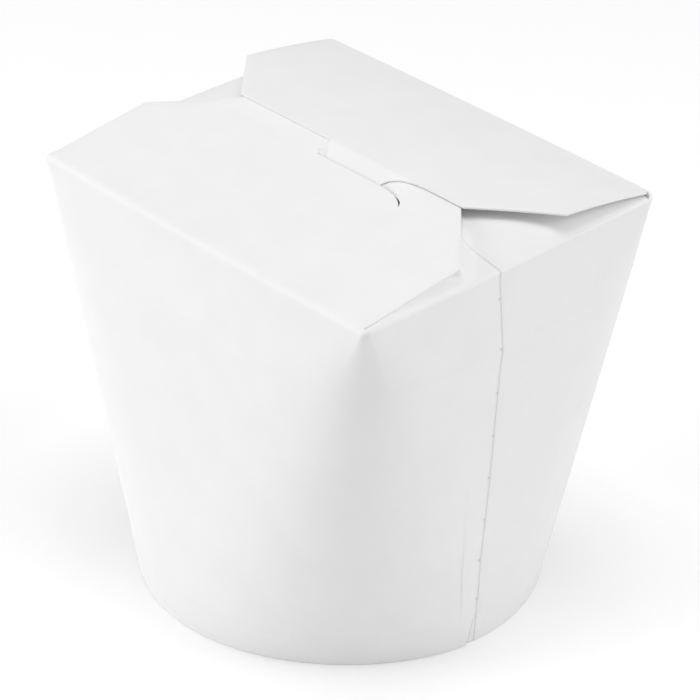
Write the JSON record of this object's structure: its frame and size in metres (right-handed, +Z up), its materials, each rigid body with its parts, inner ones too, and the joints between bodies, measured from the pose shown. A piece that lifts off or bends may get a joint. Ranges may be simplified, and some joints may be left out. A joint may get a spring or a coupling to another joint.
{
  "type": "noodle takeaway box",
  "caption": "Plain white paperboard takeaway box, shut: round foot, rectangular top, locked tuck flaps over side gussets.",
  "frame": {"origin": "centre of the round foot, on the surface the box stands on", "axes": "+X along the two main folds towards the wall with the glued lap, +Y from the lower flap's fold to the upper flap's fold, +Z up"},
  "size_m": [0.1076, 0.096, 0.1031],
  "materials": {
    "white_board": "smooth white coated board, soft satin",
    "base_board": "smooth white board, matt"
  },
  "bodies": {
    "root": {"carton": "white_board", "base_disc": "base_board"}
  },
  "joints": []
}
